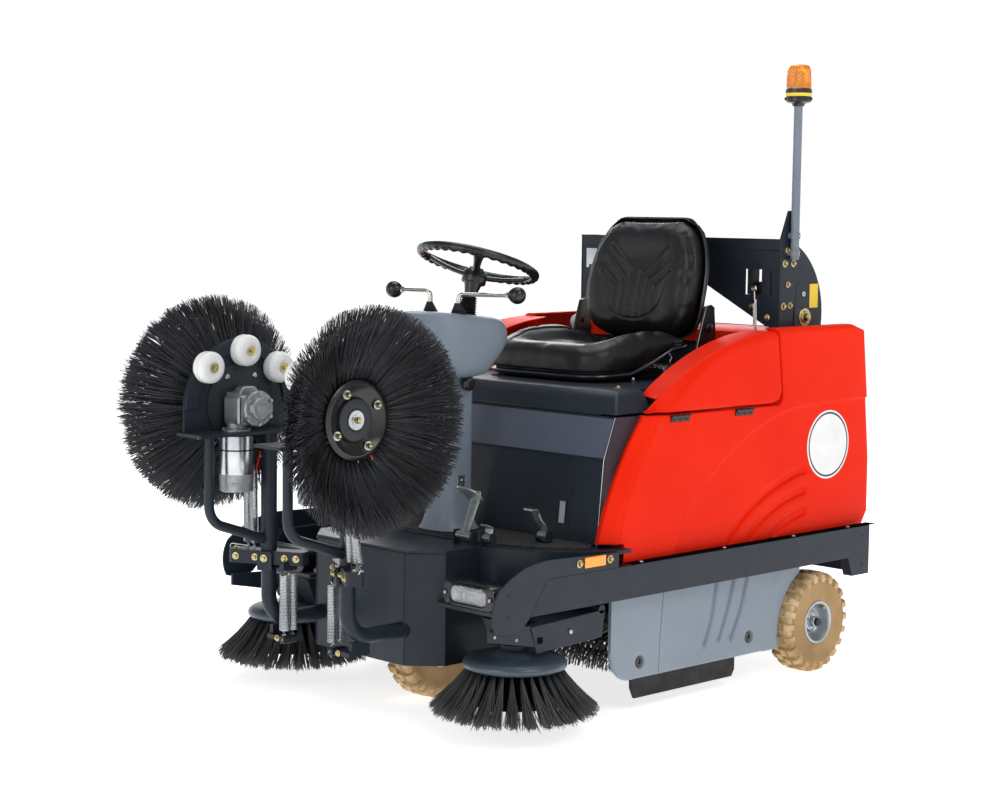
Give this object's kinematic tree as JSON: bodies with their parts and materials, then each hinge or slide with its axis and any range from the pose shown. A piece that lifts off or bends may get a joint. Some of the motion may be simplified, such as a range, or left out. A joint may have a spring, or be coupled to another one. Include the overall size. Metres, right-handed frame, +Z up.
{
  "type": "ride-on sweeper",
  "caption": "Ride-on floor sweeper with a high-dump hopper, driver seat, side brushes and two folded brush heads on swing arms at the front.",
  "frame": {"origin": "on the floor, under the middle of the machine", "axes": "+Z up, -Y the driving direction, +X the driver's left"},
  "size_m": [1.252, 2.094, 1.747],
  "materials": {
    "anthracite_paint": "satin",
    "red_plastic": "gloss",
    "grey_plastic": "satin",
    "black_rubber": "matte",
    "tan_tyre": "matte",
    "silver_rim": "satin",
    "black_plastic": "satin",
    "chrome_rod": "polished",
    "zinc_steel": "satin",
    "passivated_bolt": "satin",
    "cast_block": "matte",
    "bare_aluminium": "cast",
    "white_roller": "satin",
    "bristle": "matte",
    "black_vinyl": "satin",
    "orange_reflector": "gloss",
    "amber_lens": "clear"
  },
  "bodies": {
    "chassis": {"frame": "anthracite_paint", "front_box": "anthracite_paint", "deck_plate": "anthracite_paint", "floor_mat": "black_rubber", "guard_left": "anthracite_paint", "guard_right": "anthracite_paint", "side_panel_left": "red_plastic", "side_panel_right": "red_plastic", "flap_hinges": "black_plastic", "seat_base": "anthracite_paint", "hood": "anthracite_paint", "skirt_left": "grey_plastic", "skirt_right": "grey_plastic", "side_flaps": "black_rubber", "drive_unit": "cast_block", "console": "grey_plastic", "headlight_left": "black_plastic", "headlight_right": "black_plastic", "reflectors": "orange_reflector", "tower_frame": "anthracite_paint", "mast": "anthracite_paint", "beacon_dome": "amber_lens", "bolts": "passivated_bolt"},
    "left_flap": {"fender_flap_left": "red_plastic"},
    "right_flap": {"fender_flap_right": "red_plastic"},
    "fork": {"steer_fork": "anthracite_paint"},
    "front_wheel": {"front_tyre": "tan_tyre", "front_rim": "silver_rim"},
    "left_rear_wheel": {"rear_tyre_left": "tan_tyre", "rear_rim_left": "silver_rim"},
    "right_rear_wheel": {"rear_tyre_right": "tan_tyre", "rear_rim_right": "silver_rim"},
    "steering": {"steering_wheel": "black_plastic"},
    "left_lever": {"lever_left": "chrome_rod"},
    "right_lever": {"lever_right": "chrome_rod"},
    "drive_pedal_arm": {"drive_pedal": "zinc_steel"},
    "brake_pedal_arm": {"brake_pedal": "zinc_steel"},
    "parking_pedal_arm": {"parking_pedal": "zinc_steel"},
    "broom": {"main_broom": "bristle"},
    "seat": {"seat_pan": "black_plastic", "seat_cushion": "black_vinyl"},
    "backrest": {"seat_back": "black_vinyl"},
    "seat_handle": {"seat_lever": "black_plastic"},
    "hopper_bucket": {"hopper": "anthracite_paint"},
    "left_side_arm": {"side_arm_left": "anthracite_paint"},
    "left_side_brush": {"side_brush_left": "bristle"},
    "left_swing_arm": {"swing_arm_left": "anthracite_paint", "arm_springs_left": "zinc_steel"},
    "left_head": {"head_frame_left": "anthracite_paint", "head_drive_left": "bare_aluminium", "head_rollers_left": "white_roller"},
    "left_head_brush": {"head_brush_left": "bristle"},
    "right_side_arm": {"side_arm_right": "anthracite_paint"},
    "right_side_brush": {"side_brush_right": "bristle"},
    "right_swing_arm": {"swing_arm_right": "anthracite_paint", "arm_springs_right": "zinc_steel"},
    "right_head": {"head_frame_right": "anthracite_paint", "head_drive_right": "bare_aluminium", "head_rollers_right": "white_roller"},
    "right_head_brush": {"head_brush_right": "bristle"}
  },
  "joints": [
    {"name": "steering_turn", "type": "hinge", "parent": "chassis", "child": "steering", "pos_m": [0, -0.108, 1.177], "axis": [0, 0.309, 0.9511], "range_deg": [-300, 300]},
    {"name": "fork_turn", "type": "hinge", "parent": "chassis", "child": "fork", "pos_m": [0, -0.263, 0.39], "axis": [0, 0, 1], "range_deg": [-75, 75]},
    {"name": "front_wheel_spin", "type": "hinge", "parent": "fork", "child": "front_wheel", "pos_m": [0, -0.263, 0.146], "axis": [1, 0, 0], "continuous": true},
    {"name": "left_rear_wheel_spin", "type": "hinge", "parent": "chassis", "child": "left_rear_wheel", "pos_m": [0.492, 0.762, 0.146], "axis": [1, 0, 0], "continuous": true},
    {"name": "right_rear_wheel_spin", "type": "hinge", "parent": "chassis", "child": "right_rear_wheel", "pos_m": [-0.492, 0.762, 0.146], "axis": [1, 0, 0], "continuous": true},
    {"name": "broom_spin", "type": "hinge", "parent": "chassis", "child": "broom", "pos_m": [0, 0.24, 0.172], "axis": [1, 0, 0], "continuous": true},
    {"name": "drive_pedal_press", "type": "hinge", "parent": "chassis", "child": "drive_pedal_arm", "pos_m": [0.198, -0.335, 0.472], "axis": [1, 0, 0], "range_deg": [0, 18], "stiffness_Nm_per_rad": 8},
    {"name": "brake_pedal_press", "type": "hinge", "parent": "chassis", "child": "brake_pedal_arm", "pos_m": [0.265, -0.315, 0.472], "axis": [1, 0, 0], "range_deg": [0, 20], "stiffness_Nm_per_rad": 4},
    {"name": "parking_pedal_press", "type": "hinge", "parent": "chassis", "child": "parking_pedal_arm", "pos_m": [0.33, -0.176, 0.472], "axis": [1, 0, 0], "range_deg": [0, 20], "stiffness_Nm_per_rad": 6},
    {"name": "left_lever_swing", "type": "hinge", "parent": "chassis", "child": "left_lever", "pos_m": [0.055, -0.233, 1.056], "axis": [1, 0, 0], "range_deg": [-15, 15]},
    {"name": "right_lever_swing", "type": "hinge", "parent": "chassis", "child": "right_lever", "pos_m": [-0.055, -0.233, 1.056], "axis": [1, 0, 0], "range_deg": [-15, 15]},
    {"name": "seat_slide", "type": "slide", "parent": "chassis", "child": "seat", "axis": [0, 1, 0], "range_m": [-0.1, 0.03]},
    {"name": "backrest_tilt", "type": "hinge", "parent": "seat", "child": "backrest", "pos_m": [0, 0.58, 0.99], "axis": [1, 0, 0], "range_deg": [-6, 6]},
    {"name": "seat_handle_turn", "type": "hinge", "parent": "seat", "child": "seat_handle", "pos_m": [0.278, 0.455, 0.876], "axis": [0, 1, 0], "range_deg": [-20, 20]},
    {"name": "hopper_dump", "type": "hinge", "parent": "chassis", "child": "hopper_bucket", "pos_m": [0, 0.844, 1.02], "axis": [1, 0, 0], "range_deg": [0, 80]},
    {"name": "left_flap_open", "type": "hinge", "parent": "chassis", "child": "left_flap", "pos_m": [0.51, 0.28, 0.781], "axis": [0, 1, 0], "range_deg": [0, 110]},
    {"name": "left_side_arm_lower", "type": "hinge", "parent": "chassis", "child": "left_side_arm", "pos_m": [0.44, -0.15, 0.3], "axis": [1, 0, 0], "range_deg": [0, 7.5]},
    {"name": "left_side_brush_spin", "type": "hinge", "parent": "left_side_arm", "child": "left_side_brush", "pos_m": [0.44, -0.388, 0.19], "axis": [0, 0, 1], "continuous": true},
    {"name": "left_arm_swing", "type": "hinge", "parent": "chassis", "child": "left_swing_arm", "pos_m": [0.159, -0.5, 0.242], "axis": [0, 1, 0], "range_deg": [0, 90]},
    {"name": "left_head_float", "type": "hinge", "parent": "left_swing_arm", "child": "left_head", "pos_m": [0.159, -0.704, 0.412], "axis": [-0.5, -0.866, 0], "range_deg": [0, 6], "stiffness_Nm_per_rad": 300, "deforming": ["arm_springs_left"]},
    {"name": "left_head_brush_spin", "type": "hinge", "parent": "left_head", "child": "left_head_brush", "pos_m": [0.24, -0.765, 0.808], "axis": [1, 0, 0], "continuous": true},
    {"name": "right_flap_open", "type": "hinge", "parent": "chassis", "child": "right_flap", "pos_m": [-0.51, 0.28, 0.781], "axis": [0, -1, 0], "range_deg": [0, 110]},
    {"name": "right_side_arm_lower", "type": "hinge", "parent": "chassis", "child": "right_side_arm", "pos_m": [-0.44, -0.15, 0.3], "axis": [1, 0, 0], "range_deg": [0, 7.5]},
    {"name": "right_side_brush_spin", "type": "hinge", "parent": "right_side_arm", "child": "right_side_brush", "pos_m": [-0.44, -0.388, 0.19], "axis": [0, 0, 1], "continuous": true},
    {"name": "right_arm_swing", "type": "hinge", "parent": "chassis", "child": "right_swing_arm", "pos_m": [-0.159, -0.5, 0.242], "axis": [0, -1, 0], "range_deg": [0, 90]},
    {"name": "right_head_float", "type": "hinge", "parent": "right_swing_arm", "child": "right_head", "pos_m": [-0.159, -0.704, 0.412], "axis": [-0.5, 0.866, 0], "range_deg": [0, 6], "stiffness_Nm_per_rad": 300, "deforming": ["arm_springs_right"]},
    {"name": "right_head_brush_spin", "type": "hinge", "parent": "right_head", "child": "right_head_brush", "pos_m": [-0.24, -0.765, 0.808], "axis": [1, 0, 0], "continuous": true}
  ],
  "couplings": [
    {"joint": "fork_turn", "follows": "steering_turn", "ratio": 0.25}
  ]
}
